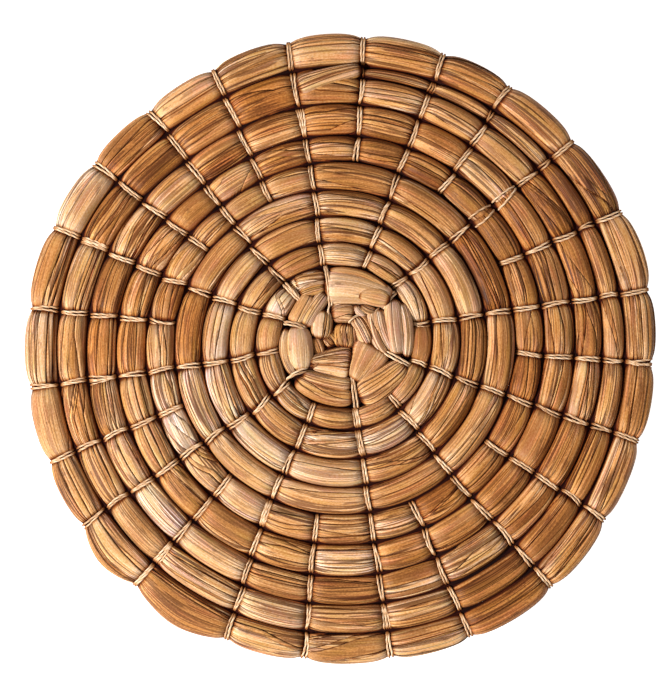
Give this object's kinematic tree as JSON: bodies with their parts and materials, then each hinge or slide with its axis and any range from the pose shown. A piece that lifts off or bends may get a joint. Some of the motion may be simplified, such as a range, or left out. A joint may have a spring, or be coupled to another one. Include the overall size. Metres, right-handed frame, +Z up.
{
  "type": "round coiled seagrass placemat",
  "caption": "Flat round table mat of a thick dried-leaf bundle wound in a spiral, stitched with twine into pillows, with a closed outer round.",
  "frame": {"origin": "middle of the mat's underside, on the table", "axes": "+Z up out of the table; +Y towards the place on the rim where the coil's tail ends"},
  "size_m": [0.3798, 0.3793, 0.0118],
  "materials": {
    "seagrass_coil": "dried leaf strips in pale tan to golden brown, softly glossy, with dark creases",
    "seagrass_rim": "dried leaf strips in pale tan to golden brown, softly glossy, with dark creases"
  },
  "bodies": {
    "root": {"coil": "seagrass_coil", "rim": "seagrass_rim"}
  },
  "joints": []
}
